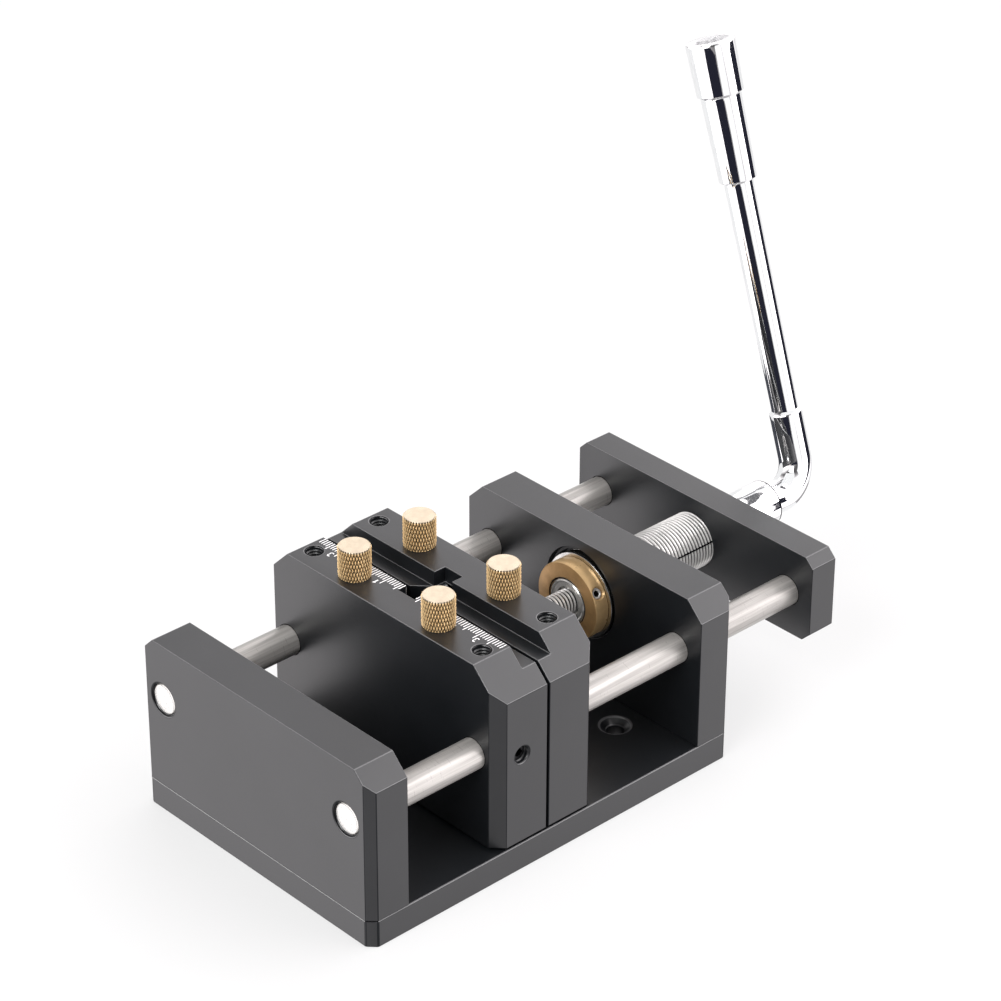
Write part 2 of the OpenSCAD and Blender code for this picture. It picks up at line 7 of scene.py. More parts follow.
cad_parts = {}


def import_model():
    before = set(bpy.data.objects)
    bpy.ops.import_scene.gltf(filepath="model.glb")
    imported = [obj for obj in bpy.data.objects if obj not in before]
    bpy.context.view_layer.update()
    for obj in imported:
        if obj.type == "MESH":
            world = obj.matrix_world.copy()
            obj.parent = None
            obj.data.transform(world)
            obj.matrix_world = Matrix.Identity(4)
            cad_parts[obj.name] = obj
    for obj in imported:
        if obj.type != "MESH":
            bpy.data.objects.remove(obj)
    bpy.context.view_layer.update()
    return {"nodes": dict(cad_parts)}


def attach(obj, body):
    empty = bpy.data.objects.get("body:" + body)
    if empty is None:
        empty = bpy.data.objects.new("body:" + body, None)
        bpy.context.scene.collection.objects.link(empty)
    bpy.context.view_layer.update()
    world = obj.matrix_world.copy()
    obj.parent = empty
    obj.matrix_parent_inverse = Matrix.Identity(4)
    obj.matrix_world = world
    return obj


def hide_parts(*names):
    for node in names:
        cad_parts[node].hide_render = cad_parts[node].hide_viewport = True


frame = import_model()
nodes = frame["nodes"]
scene = bpy.context.scene
MM = 0.001

# Sizes of the source that the finer pieces follow, in millimetres. X runs along the screw to
# the rear, Z is up, and the middle of the base plate's underside is the origin.
BASE_LEN = 142.0
BODY_W = 100.0
BASE_T = 9.0
CORNER_CUT = 2.6
PLATE_T = 14.0
REAR_X = BASE_LEN / 2
FRONT_X = -REAR_X
SIDE_Y = BODY_W / 2
PLATE_X = REAR_X - PLATE_T
AXIS_Z = BASE_T + 30.5
TOP_Z = BASE_T + 60.0
ROD_Y = SIDE_Y - 10.0
ROD_R = 4.75
ROD_CLEAR = 0.01

# Jaws
JAW_T = 19.0
STEP_W = 5.0
STRIP_W = JAW_T - STEP_W
JAW_1_X = FRONT_X + PLATE_T + 33.3
JAW_2_X = JAW_1_X + JAW_T + 1.0
JAW_2_BACK = JAW_2_X + JAW_T
STEP_X = JAW_1_X + STRIP_W
ROW_1 = JAW_1_X + STRIP_W / 2
ROW_2 = JAW_2_X + STEP_W + STRIP_W / 2
FREE_Y = SIDE_Y - 14.0
THUMB_Y = FREE_Y - 18.0
TAP_R = 2.6
TAP_DEPTH = 14.5

# Screw and yoke
PITCH = 1.25
THREAD_DEPTH = PITCH * 0.6134
SCREW_R = 9.0
SCREW_ROOT = SCREW_R - THREAD_DEPTH
YOKE_X = REAR_X + 33.2
THREAD_END = YOKE_X + 11.0
HEX_END = THREAD_END + 11.0
HEX_FLATS = 10.0
JOURNAL_R = 7.5
FLANGE_T = 3.0
FLANGE_R = 12.0
COLLAR_X = 51.0
COLLAR_BACK = COLLAR_X + 5.2
COLLAR_R = 12.6
COLLAR_EDGE = 0.4
NOSE_X = COLLAR_X - 0.1
STUD_R = 4.0
STUD_ROOT = STUD_R - THREAD_DEPTH
STUD_X = 6.0
STUD_BACK = 67.9

# Crank
CRANK_X = THREAD_END + 0.3
ARM_X = CRANK_X + 37.5
ARM_TIP = 144.7
LEAN = math.radians(18.6)
BEND = 10.0
TUBE_R = 5.25
SOCKET_R = 7.5
SOCKET_FLATS = 10.15
SOCKET_DEPTHS = (0.0, 0.3, 0.6, 0.9, 12.5)
CRANK_ROUND = 96

# Drawn lines and gaps stand out of their faces by FILM and start SUNK below them
FILM = 0.012
SUNK = 0.05


def make(name, verts, faces, mat, body, slot, stands_for=(), sharp=None, at=(0, 0, 0)):
    """A mesh piece from points in millimetres, riding on a body. It stands for nodes of the
    source, or adds to them, and is smooth below a sharp angle where one is given."""
    mesh = bpy.data.meshes.new(name)
    mesh.from_pydata([[c * MM for c in v] for v in verts], [], faces)
    mesh.validate()
    shell = bmesh.new()
    shell.from_mesh(mesh)
    bmesh.ops.recalc_face_normals(shell, faces=shell.faces)
    shell.to_mesh(mesh)
    shell.free()
    piece = bpy.data.objects.new(name, mesh)
    scene.collection.objects.link(piece)
    piece.location = [c * MM for c in at]
    mesh.materials.append(mat)
    if sharp:
        mesh.shade_smooth()
        mesh.set_sharp_from_angle(angle=math.radians(sharp))
    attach(piece, body)
    if stands_for:
        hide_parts(*stands_for)
    return piece


def add_modifier(piece, kind, name, **values):
    mod = piece.modifiers.new(name, kind)
    for key, value in values.items():
        setattr(mod, key, value)


# Materials


def new_material(name):
    mat = bpy.data.materials.new(name)
    mat.use_nodes = True
    tree = mat.node_tree
    tree.nodes.clear()
    out = tree.nodes.new("ShaderNodeOutputMaterial")
    shader = tree.nodes.new("ShaderNodeBsdfPrincipled")
    tree.links.new(shader.outputs["BSDF"], out.inputs["Surface"])
    return mat, tree, shader


def mapped_noise(tree, scale, stretch=(1, 1, 1), detail=3.0, rough=0.55):
    """A noise texture in the part's own metres, stretched along the axes."""
    coord = tree.nodes.new("ShaderNodeTexCoord")
    mapping = tree.nodes.new("ShaderNodeMapping")
    mapping.inputs["Scale"].default_value = stretch
    tree.links.new(coord.outputs["Object"], mapping.inputs["Vector"])
    noise = tree.nodes.new("ShaderNodeTexNoise")
    noise.inputs["Scale"].default_value = scale
    noise.inputs["Detail"].default_value = detail
    noise.inputs["Roughness"].default_value = rough
    tree.links.new(mapping.outputs["Vector"], noise.inputs["Vector"])
    return noise.outputs["Fac"]


def ramp(tree, value, low, high, start=0.3, end=0.7):
    """A number that goes from low to high while the value goes from start to end."""
    node = tree.nodes.new("ShaderNodeMapRange")
    node.inputs["From Min"].default_value = start
    node.inputs["From Max"].default_value = end
    node.inputs["To Min"].default_value = low
    node.inputs["To Max"].default_value = high
    tree.links.new(value, node.inputs["Value"])
    return node.outputs["Result"]


def mix_colour(tree, value, dark, light, start=0.3, end=0.7):
    """A colour that goes from dark to light while the value goes from start to end."""
    node = tree.nodes.new("ShaderNodeValToRGB")
    node.color_ramp.elements[0].position = start
    node.color_ramp.elements[0].color = (*dark, 1)
    node.color_ramp.elements[1].position = end
    node.color_ramp.elements[1].color = (*light, 1)
    tree.links.new(value, node.inputs["Fac"])
    return node.outputs["Color"]


def bump(tree, shader, value, strength, distance, below=None):
    node = tree.nodes.new("ShaderNodeBump")
    node.inputs["Strength"].default_value = strength
    node.inputs["Distance"].default_value = distance
    tree.links.new(value, node.inputs["Height"])
    if below is not None:
        tree.links.new(below, node.inputs["Normal"])
    tree.links.new(node.outputs["Normal"], shader.inputs["Normal"])
    return node.outputs["Normal"]


def anodised(name, rough=(0.31, 0.38), up_highlight=0.0):
    """Bead blasted aluminium with a black anodised skin: dark inside, with a soft clear gloss.
    Given a highlight level, the skin is paler and glossier where it faces up: a painted highlight on the
    edge breaks."""
    mat, tree, shader = new_material(name)
    broad = mapped_noise(tree, 45.0, detail=4.0)
    grain = mapped_noise(tree, 4200.0, detail=2.0)
    fine = mapped_noise(tree, 11000.0, detail=1.0)
    base = 0.006
    dark = (base * 0.8, base, base * 1.25)
    light = (base * 1.4, base * 1.6, base * 1.9)
    tone = mix_colour(tree, broad, dark, light)
    # Painted highlight: paler colour and a stronger gloss on faces that look up.
    if up_highlight:
        coord = tree.nodes.new("ShaderNodeTexCoord")
        split = tree.nodes.new("ShaderNodeSeparateXYZ")
        tree.links.new(coord.outputs["Normal"], split.inputs["Vector"])
        mix = tree.nodes.new("ShaderNodeMix")
        mix.data_type = "RGBA"
        mix.inputs["B"].default_value = (up_highlight, up_highlight, up_highlight * 1.03, 1)
        facing = split.outputs["Z"]
        tree.links.new(ramp(tree, facing, 0.0, 1.0, 0.15, 0.5), mix.inputs["Factor"])
        tree.links.new(tone, mix.inputs["A"])
        tone = mix.outputs["Result"]
        gloss = ramp(tree, facing, 0.18, 0.5, 0.15, 0.5)
        tree.links.new(gloss, shader.inputs["Specular IOR Level"])
    tree.links.new(tone, shader.inputs["Base Color"])
    shader.inputs["IOR"].default_value = 1.6
    tree.links.new(ramp(tree, grain, *rough), shader.inputs["Roughness"])
    first = bump(tree, shader, grain, 0.45, 0.00002)
    bump(tree, shader, fine, 0.25, 0.00001, first)
    return mat


def ground_steel(name, colour):
    """Centreless ground steel: fine rings round the rod, and streaks along it from sliding."""
    mat, tree, shader = new_material(name)
    streaks = mapped_noise(tree, 620.0, (0.02, 1, 1), detail=4.0, rough=0.65)
    rings = mapped_noise(tree, 3600.0, (1, 0.05, 0.05), detail=3.0, rough=0.6)
    dark = tuple(c * 0.62 for c in colour)
    tree.links.new(mix_colour(tree, streaks, dark, colour, 0.36, 0.6), shader.inputs["Base Color"])
    shader.inputs["Metallic"].default_value = 0.4
    tree.links.new(ramp(tree, rings, 0.26, 0.42), shader.inputs["Roughness"])
    first = bump(tree, shader, streaks, 0.2, 0.00004)
    bump(tree, shader, rings, 0.3, 0.00002, first)
    return mat


def turned_metal(name, colour, rough, depth, metallic=0.4, axis="x", groove=None, root_shade=0.1):
    """A metal with the fine rings that a lathe leaves round its axis. A groove is the two radii between
    which the colour goes from dark to clean: painted shade in the roots of threads and knurls."""
    mat, tree, shader = new_material(name)
    coord = tree.nodes.new("ShaderNodeTexCoord")
    split = tree.nodes.new("ShaderNodeSeparateXYZ")
    tree.links.new(coord.outputs["Object"], split.inputs["Vector"])

    def shifted(channel, offset):
        node = tree.nodes.new("ShaderNodeMath")
        node.operation = "SUBTRACT"
        tree.links.new(split.outputs[channel], node.inputs[0])
        node.inputs[1].default_value = offset * MM
        return node.outputs[0]

    if axis == "x":
        first, second, along = split.outputs["Y"], shifted("Z", AXIS_Z), split.outputs["X"]
    else:
        first, second, along = split.outputs["X"], split.outputs["Y"], split.outputs["Z"]
    flat = tree.nodes.new("ShaderNodeCombineXYZ")
    tree.links.new(first, flat.inputs["X"])
    tree.links.new(second, flat.inputs["Y"])
    length = tree.nodes.new("ShaderNodeVectorMath")
    length.operation = "LENGTH"
    tree.links.new(flat.outputs["Vector"], length.inputs[0])
    ring = tree.nodes.new("ShaderNodeCombineXYZ")
    tree.links.new(length.outputs["Value"], ring.inputs["X"])
    tree.links.new(along, ring.inputs["Y"])
    noise = tree.nodes.new("ShaderNodeTexNoise")
    noise.inputs["Scale"].default_value = 4200.0
    noise.inputs["Detail"].default_value = 3.0
    tree.links.new(ring.outputs["Vector"], noise.inputs["Vector"])
    blotch = mapped_noise(tree, 320.0, detail=4.0)
    dark = tuple(c * 0.82 for c in colour)
    tone = mix_colour(tree, blotch, dark, colour, 0.3, 0.6)
    # Painted shade: the colour darkens towards the roots of the groove.
    if groove:
        depth_share = ramp(tree, length.outputs["Value"], 0.0, 1.0, groove[0] * MM, groove[1] * MM)
        mix = tree.nodes.new("ShaderNodeMix")
        mix.data_type = "RGBA"
        mix.inputs["A"].default_value = (*(c * root_shade for c in colour), 1)
        tree.links.new(depth_share, mix.inputs["Factor"])
        tree.links.new(tone, mix.inputs["B"])
        tone = mix.outputs["Result"]
    tree.links.new(tone, shader.inputs["Base Color"])
    shader.inputs["Metallic"].default_value = metallic
    shader.inputs["Specular IOR Level"].default_value = 0.15
    tree.links.new(ramp(tree, blotch, rough[1], rough[0]), shader.inputs["Roughness"])
    bump(tree, shader, noise.outputs["Fac"], depth, 0.00003)
    return mat


def plain_metal(name, colour, rough, metallic):
    mat, tree, shader = new_material(name)
    noise = mapped_noise(tree, 1800.0, detail=3.0)
    dark = tuple(c * 0.85 for c in colour)
    tree.links.new(mix_colour(tree, noise, dark, colour), shader.inputs["Base Color"])
    shader.inputs["Metallic"].default_value = metallic
    tree.links.new(ramp(tree, noise, rough * 0.85, rough * 1.15), shader.inputs["Roughness"])
    bump(tree, shader, noise, 0.1, 0.00002)
    return mat


def chrome(name):
    """Polished chrome over a slightly wavy drawn tube."""
    mat, tree, shader = new_material(name)
    wave = mapped_noise(tree, 130.0, (1, 1, 0.35), detail=2.0)
    specks = mapped_noise(tree, 3000.0, detail=3.0)
    shader.inputs["Base Color"].default_value = (0.97, 0.975, 0.985, 1)
    shader.inputs["Metallic"].default_value = 1.0
    tree.links.new(ramp(tree, specks, 0.02, 0.08), shader.inputs["Roughness"])
    first = bump(tree, shader, wave, 0.07, 0.0006)
    bump(tree, shader, specks, 0.05, 0.00001, first)
    return mat


def paint(name, colour, rough=0.55):
    mat, tree, shader = new_material(name)
    noise = mapped_noise(tree, 2500.0, detail=3.0)
    dark = tuple(c * 0.85 for c in colour)
    tree.links.new(mix_colour(tree, noise, dark, colour), shader.inputs["Base Color"])
    shader.inputs["Roughness"].default_value = rough
    bump(tree, shader, noise, 0.15, 0.00001)
    return mat


def dull_black(name):
    """Painted shade: the dark of a narrow gap or an unlit bore."""
    mat, tree, shader = new_material(name)
    noise = mapped_noise(tree, 900.0)
    tree.links.new(mix_colour(tree, noise, (0.002, 0.002, 0.0025), (0.005, 0.005, 0.006)),
                   shader.inputs["Base Color"])
    shader.inputs["Roughness"].default_value = 0.9
    shader.inputs["Specular IOR Level"].default_value = 0.1
    return mat


ANODISED = anodised("anodised_dark")
# Edge breaks of the anodised parts, with a painted highlight where they face up.
EDGE_HIGHLIGHT = anodised("anodised_edge_highlight", rough=(0.30, 0.36), up_highlight=0.11)
DULL = dull_black("dull_black")
ROD = ground_steel("ground_rod", (0.52, 0.50, 0.475))
ROD_END = plain_metal("rod_end", (0.72, 0.71, 0.69), 0.3, 0.4)
# The thread, the stud and the knurl darken in their roots through their groove radii: painted shade.
THREAD = turned_metal("turned_thread", (0.97, 0.96, 0.94), (0.18, 0.28), 0.10,
                      groove=(8.38, 8.82), root_shade=0.14)
STUD = turned_metal("turned_stud", (1.0, 0.985, 0.96), (0.16, 0.26), 0.10, 0.5,
                    groove=(3.42, 3.82), root_shade=0.05)
JOURNAL = turned_metal("turned_journal", (0.72, 0.71, 0.68), (0.2, 0.28), 0.05, 0.7)
BEARING = turned_metal("bearing_steel", (0.60, 0.595, 0.58), (0.16, 0.26), 0.12, 1.0)
BRASS = turned_metal("turned_brass", (0.46, 0.275, 0.12), (0.28, 0.38), 0.3, 0.35)
# A paler copy of the collar's brass for its rim: painted light.
BRASS_LIT_RIM = turned_metal("brass_rim_lit", (0.57, 0.385, 0.19), (0.26, 0.36), 0.3, 0.35)
KNURL = turned_metal("knurled_brass", (0.95, 0.68, 0.36), (0.20, 0.30), 0.10, 0.35, axis="z",
                     groove=(4.50, 4.80), root_shade=0.03)
BRASS_FACE = turned_metal("brass_face", (0.62, 0.53, 0.40), (0.26, 0.34), 0.12, 1.0, axis="z")
SOCKET = turned_metal("socket_steel", (0.72, 0.71, 0.69), (0.18, 0.26), 0.1)
BLACK = plain_metal("black_oxide", (0.03, 0.03, 0.033), 0.32, 0.9)
CHROME = chrome("polished_chrome")
SATIN = plain_metal("satin_chrome", (0.70, 0.70, 0.71), 0.5, 0.4)
WHITE = paint("white_fill", (0.95, 0.95, 0.95))
# Painted highlight for the seam line along the base's top edge.
SEAM_HIGHLIGHT = paint("seam_highlight", (0.25, 0.25, 0.25), 0.4)

# Nodes that keep the source's mesh. Slots of their materials after the first one:
EDGE_SLOT = 1
BORE_SLOT = 2
END_SLOT = 3


def dress(name, mat, edge=0.0, edge_mat=None, bores=()):
    """Gives a node its material and, with modifiers, breaks of a width on its sharp edges.
    Bores are (y, z, radius) of holes along X whose walls take the dull black of painted shade."""
    piece = nodes[name]
    piece.data.materials.clear()
    piece.data.materials.append(mat)
    piece.data.shade_smooth()
    if edge or bores:
        piece.data.materials.append(edge_mat or mat)
        piece.data.materials.append(DULL)
    # Painted shade on the walls of the bores.
    for face in piece.data.polygons:
        for y, z, r in bores:
            across = Vector((face.center.y / MM - y, face.center.z / MM - z))
            if abs(face.normal.x) < 0.1 and across.length < r + 0.3:
                face.material_index = BORE_SLOT
    if edge:
        add_modifier(piece, "WELD", "weld", merge_threshold=0.000002)
        add_modifier(piece, "DECIMATE", "flatten", decimate_type="DISSOLVE",
                     angle_limit=math.radians(0.6))
        add_modifier(piece, "BEVEL", "edge_break", width=edge * MM, segments=2,
                     material=EDGE_SLOT, limit_method="ANGLE", angle_limit=math.radians(28.0),
                     use_clamp_overlap=False, miter_outer="MITER_ARC")
        add_modifier(piece, "TRIANGULATE", "triangles", min_vertices=5)
        add_modifier(piece, "WEIGHTED_NORMAL", "normals", weight=100, keep_sharp=False)
    return piece


ROD_BORES = tuple((side * ROD_Y, AXIS_Z, ROD_R + 0.1) for side in (-1, 1))
dress("base_plate", ANODISED, 0.45, EDGE_HIGHLIGHT)
dress("front_plate", ANODISED, 0.2, EDGE_HIGHLIGHT, ROD_BORES)
dress("support_plate", ANODISED, 0.2, EDGE_HIGHLIGHT, ROD_BORES)
for part in ("yoke_plate", "front_jaw", "rear_jaw"):
    dress(part, ANODISED, 0.2, EDGE_HIGHLIGHT)
for part in ("guide_rod_left", "guide_rod_right"):
    rod = dress(part, ROD, 0.25)
    rod.data.materials.append(ROD_END)
    for face in rod.data.polygons:
        if abs(face.normal.x) > 0.9:
            face.material_index = END_SLOT
for part in ("front_housing_race", "rear_housing_race", "front_shaft_race", "rear_shaft_race"):
    dress(part, BEARING, 0.12)
for part in ("front_needle_cage", "rear_needle_cage", "front_needles", "rear_needles", "stud_pin"):
    dress(part, BEARING)
for part in ("base_screws", "yoke_screws", "jaw_set_screws"):
    dress(part, BLACK)

# Threads and turned parts


def x_ring(x, r, count):
    return [(x, r * math.cos(2 * math.pi * i / count), AXIS_Z + r * math.sin(2 * math.pi * i / count))
            for i in range(count)]


def lathe_x(profile, count=96, caps=(False, False)):
    """Rings round the screw's axis from (x, radius) pairs."""
    verts, faces = [], []
    for x, r in profile:
        verts += x_ring(x, r, count)
    for j in range(len(profile) - 1):
        for i in range(count):
            a, b = j * count + i, j * count + (i + 1) % count
            faces.append((a, b, b + count, a + count))
    if caps[0]:
        faces.append(tuple(range(count - 1, -1, -1)))
    if caps[1]:
        start = (len(profile) - 1) * count
        faces.append(tuple(range(start, start + count)))
    return verts, faces


def joined(*parts):
    """Several meshes as one."""
    verts, faces = [], []
    for v, f in parts:
        base = len(verts)
        verts += v
        faces += [tuple(i + base for i in face) for face in f]
    return verts, faces


def helix_x(r, x0, x1, hand, count, fade):
    """The surface of a thread along X, hand 1 for right and -1 for left. It fades out over a
    length at both ends."""
    marks = ((0.0, 0.0), (0.25, 0.92), (0.29, 1.0), (0.46, 1.0), (0.50, 0.92), (0.75, 0.0))
    turns = int((x1 - x0) / PITCH) + 2
    verts, rows = [], []
    for k in range(-1, turns):
        for phase, height in marks:
            row = []
            for i in range(count + 1):
                x = x0 + PITCH * (k + phase + hand * i / count)
                if hand < 0:
                    x += PITCH
                ends = min(max((x - x0) / fade, 0.0), max((x1 - x) / fade, 0.0), 1.0)
                x = min(max(x, x0), x1)
                radius = r - THREAD_DEPTH + THREAD_DEPTH * height * ends
                angle = 2 * math.pi * i / count
                row.append(len(verts))
                verts.append((x, radius * math.cos(angle), AXIS_Z + radius * math.sin(angle)))
            rows.append(row)
    faces = []
    for a, b in zip(rows, rows[1:]):
        for i in range(count):
            quad = (a[i], a[i + 1], b[i + 1], b[i])
            spans = [verts[q][0] for q in quad]
            if max(spans) - min(spans) > 1e-6:
                faces.append(quad)
    return verts, faces


def hex_radius(angle, flats):
    """How far a hexagon's side lies from its middle at an angle."""
    part = (angle + math.pi / 6) % (math.pi / 3) - math.pi / 6
    return flats / 2 / math.cos(part)


def hex_end(x0, x1, flats, count=96):
    """A hexagonal end along X whose tip is chamfered."""
    verts, rows = [], []
    chamfer = 0.8
    corner = flats / 2 / math.cos(math.pi / 6)
    tip = ((x0, corner), (x1 - chamfer, corner), (x1 - chamfer / 2, corner - chamfer / 2),
           (x1, corner - chamfer))
    for x, limit in tip:
        row = []
        for i in range(count):
            angle = 2 * math.pi * i / count
            r = min(hex_radius(angle + math.pi / 2, flats), limit)
            row.append(len(verts))
            verts.append((x, r * math.cos(angle), AXIS_Z + r * math.sin(angle)))
        rows.append(row)
    faces = []
    for a, b in zip(rows, rows[1:]):
        for i in range(count):
            j = (i + 1) % count
            faces.append((a[i], a[j], b[j], b[i]))
    faces.append(tuple(rows[-1]))
    return verts, faces


# The screw's nose has a dished end with a rounded rim, then come the journal and the flange
nose = [(NOSE_X + 1.5, 3.2), (NOSE_X + 1.5, 4.6), (NOSE_X + 0.45, 4.6), (NOSE_X + 0.3, 4.75),
        (NOSE_X + 0.3, 6.15), (NOSE_X + 0.15, 6.3), (NOSE_X + 0.05, 6.3), (NOSE_X, 6.4),
        (NOSE_X, 6.85), (NOSE_X + 0.6, 7.47), (NOSE_X + 0.7, JOURNAL_R)]
flange = [(REAR_X - FLANGE_T, JOURNAL_R), (REAR_X - FLANGE_T, FLANGE_R - 0.3),
          (REAR_X - FLANGE_T + 0.3, FLANGE_R), (REAR_X - 0.3, FLANGE_R),
          (REAR_X, FLANGE_R - 0.3), (REAR_X, SCREW_ROOT)]
spindle = joined(
    lathe_x(nose + flange),
    helix_x(SCREW_R, REAR_X, THREAD_END, 1, 72, 1.2),
    lathe_x([(THREAD_END, SCREW_ROOT), (THREAD_END, 1.0)], caps=(False, True)),
    hex_end(THREAD_END - 0.1, HEX_END, HEX_FLATS))
screw = make("spindle_turned", *spindle, THREAD, "screw", "turned_steel", ["spindle"], sharp=32.0)
screw.data.materials.append(JOURNAL)
for face in screw.data.polygons:
    if face.center.x < REAR_X * MM:
        face.material_index = 1

stud = joined(
    lathe_x([(STUD_X, 1.0), (STUD_X, STUD_ROOT)], caps=(True, False)),
    helix_x(STUD_R, STUD_X, STUD_BACK, -1, 48, 0.9),
    lathe_x([(STUD_BACK, STUD_ROOT), (STUD_BACK, 1.0)], caps=(False, True)))
make("left_hand_thread", *stud, STUD, "screw", "turned_steel", ["left_hand_stud"], sharp=32.0)


def cut_hole(piece, verts, faces):
    """Cuts a closed shape out of a piece."""
    mesh = bpy.data.meshes.new("cutter")
    mesh.from_pydata([[c * MM for c in v] for v in verts], [], faces)
    cutter = bpy.data.objects.new("cutter", mesh)
    scene.collection.objects.link(cutter)
    piece.modifiers.new("cut", "BOOLEAN").object = cutter
    depsgraph = bpy.context.evaluated_depsgraph_get()
    result = bpy.data.meshes.new_from_object(piece.evaluated_get(depsgraph))
    piece.modifiers.clear()
    piece.data = result
    bpy.data.objects.remove(cutter)


def lathe_along(origin, axis, profile, flats=None, count=48):
    """Rings round any axis from (distance, radius) pairs; a radius of None is a hexagon."""
    way = Vector(axis).normalized()
    side = Vector((1, 0, 0))
    other = way.cross(side)
    verts, faces = [], []
    for far, r in profile:
        for i in range(count):
            angle = 2 * math.pi * i / count
            reach = r if r is not None else hex_radius(angle, flats)
            verts.append(tuple(Vector(origin) + way * far + (side * math.cos(angle)
                                                             + other * math.sin(angle)) * reach))
    for j in range(len(profile) - 1):
        for i in range(count):
            a, b = j * count + i, j * count + (i + 1) % count
            faces.append((a, b, b + count, a + count))
    faces.append(tuple(range(count - 1, -1, -1)))
    start = (len(profile) - 1) * count
    faces.append(tuple(range(start, start + count)))
    return verts, faces


# The brass collar, with a hole for its set screw in the rim
collar_turn = math.radians(32)
collar_way = (0, -math.cos(collar_turn), math.sin(collar_turn))
collar_middle = ((COLLAR_X + COLLAR_BACK) / 2, 0, AXIS_Z)
ring = [(COLLAR_BACK, 7.8), (COLLAR_BACK, COLLAR_R - COLLAR_EDGE),
        (COLLAR_BACK - 0.12, COLLAR_R - 0.12), (COLLAR_BACK - COLLAR_EDGE, COLLAR_R),
        (COLLAR_X + COLLAR_EDGE, COLLAR_R), (COLLAR_X + 0.12, COLLAR_R - 0.12),
        (COLLAR_X, COLLAR_R - COLLAR_EDGE), (COLLAR_X, 7.95), (COLLAR_X + 0.35, 7.55),
        (COLLAR_BACK - 0.2, 7.55), (COLLAR_BACK, 7.8)]
collar = make("collar_turned", *lathe_x(ring, 160), BRASS, "screw", "brass", ["stop_collar"],
              sharp=30.0)
hole = [(6.0, 1.8), (11.9, 1.8), (12.1, 1.84), (12.8, 2.6)]
cut_hole(collar, *lathe_along(collar_middle, collar_way, hole))
collar.data.set_sharp_from_angle(angle=math.radians(30))
# The collar's rim takes the paler copy of its brass: painted light on the rim.
collar.data.materials.append(BRASS_LIT_RIM)
for face in collar.data.polygons:
    out = Vector((face.center.y, face.center.z - AXIS_Z * MM)).length
    if abs(face.normal.x) < 0.9 and out > 11 * MM:
        face.material_index = 1

# The collar's set screw, with a hexagon socket from one depth to another
SOCKET_TOP = 11.45
SOCKET_FLOOR = 10.0
screw_profile = [(7.5, 1.0), (7.9, 1.75), (11.5, 1.75), (11.75, 1.55), (11.75, 1.18),
                 (11.6, 1.04), (SOCKET_TOP, None), (SOCKET_FLOOR, None)]
grub = make("collar_screw_socket", *lathe_along(collar_middle, collar_way, screw_profile, 1.8),
            SOCKET, "screw", "black_steel", ["collar_set_screw"], sharp=30.0)
# Painted shade inside the hexagon socket.
grub.data.materials.append(DULL)
for face in grub.data.polygons:
    away = face.center / MM - Vector(collar_middle)
    deep = away.dot(Vector(collar_way))
    aside = (away - Vector(collar_way) * deep).length
    if SOCKET_FLOOR - 0.1 < deep < SOCKET_TOP - 0.05 and aside < 1.15:
        face.material_index = 1


def knurled_head():
    """A thumb screw with a diamond knurl of crossed grooves. A groove rises by the period
    while it passes the width of one diamond."""
    starts = 34
    period = 2.67
    depth = 0.55
    around = starts * 8
    r = 5.0
    high = 10.0
    rows = [0.0, 0.12] + [0.3 + i * period / 14 for i in range(int(9.4 / period * 14) + 1)]
    rows = [z for z in rows if z < high - 0.16] + [high - 0.12, high]
    verts, faces = [], []

    def saw(t):
        return abs((t % 1.0) - 0.5) * 2

    for z in rows:
        edge = min(r - 0.45 + z * 1.5, r - 0.42 + (high - z) * 1.05, r)
        for i in range(around):
            angle = 2 * math.pi * i / around
            u = starts * i / around + z / period
            v = starts * i / around - z / period
            peak = 1 - max(saw(u), saw(v))
            radius = min(r - depth + depth * min(1.0, peak * 1.12), edge)
            verts.append((radius * math.cos(angle), radius * math.sin(angle), z))
    for j in range(len(rows) - 1):
        for i in range(around):
            a, b = j * around + i, j * around + (i + 1) % around
            faces.append((a, b, b + around, a + around))
    last = (len(rows) - 1) * around
    centre = len(verts)
    verts.append((0, 0, high))
    for i in range(around):
        faces.append((last + i, last + (i + 1) % around, centre))
    shank = []
    for z, radius in ((0.0, 2.55), (-10.6, 2.55), (-11.0, 2.15)):
        for i in range(around):
            angle = 2 * math.pi * i / around
            shank.append((radius * math.cos(angle), radius * math.sin(angle), z))
    base = len(verts)
    verts += shank
    for i in range(around):
        j = (i + 1) % around
        faces.append((i, base + i, base + j, j))
        faces.append((base + i, base + around + i, base + around + j, base + j))
        faces.append((base + around + i, base + 2 * around + i, base + 2 * around + j, base + around + j))
    faces.append(tuple(base + 2 * around + i for i in range(around - 1, -1, -1)))
    return verts, faces


for number, (x, y, body) in enumerate(((ROW_1, THUMB_Y, "knob_1"), (ROW_1, -THUMB_Y, "knob_2"),
                                       (ROW_2, THUMB_Y, "knob_3"), (ROW_2, -THUMB_Y, "knob_4")), 1):
    head = make(f"knurled_screw_{number}", *knurled_head(), KNURL, body, "brass",
                [f"thumb_screw_{number}"], sharp=24.0, at=(x, y, TOP_Z))
    head.data.materials.append(BRASS_FACE)
    for face in head.data.polygons:
        if face.center.z > 9.75 * MM:
            face.material_index = 1


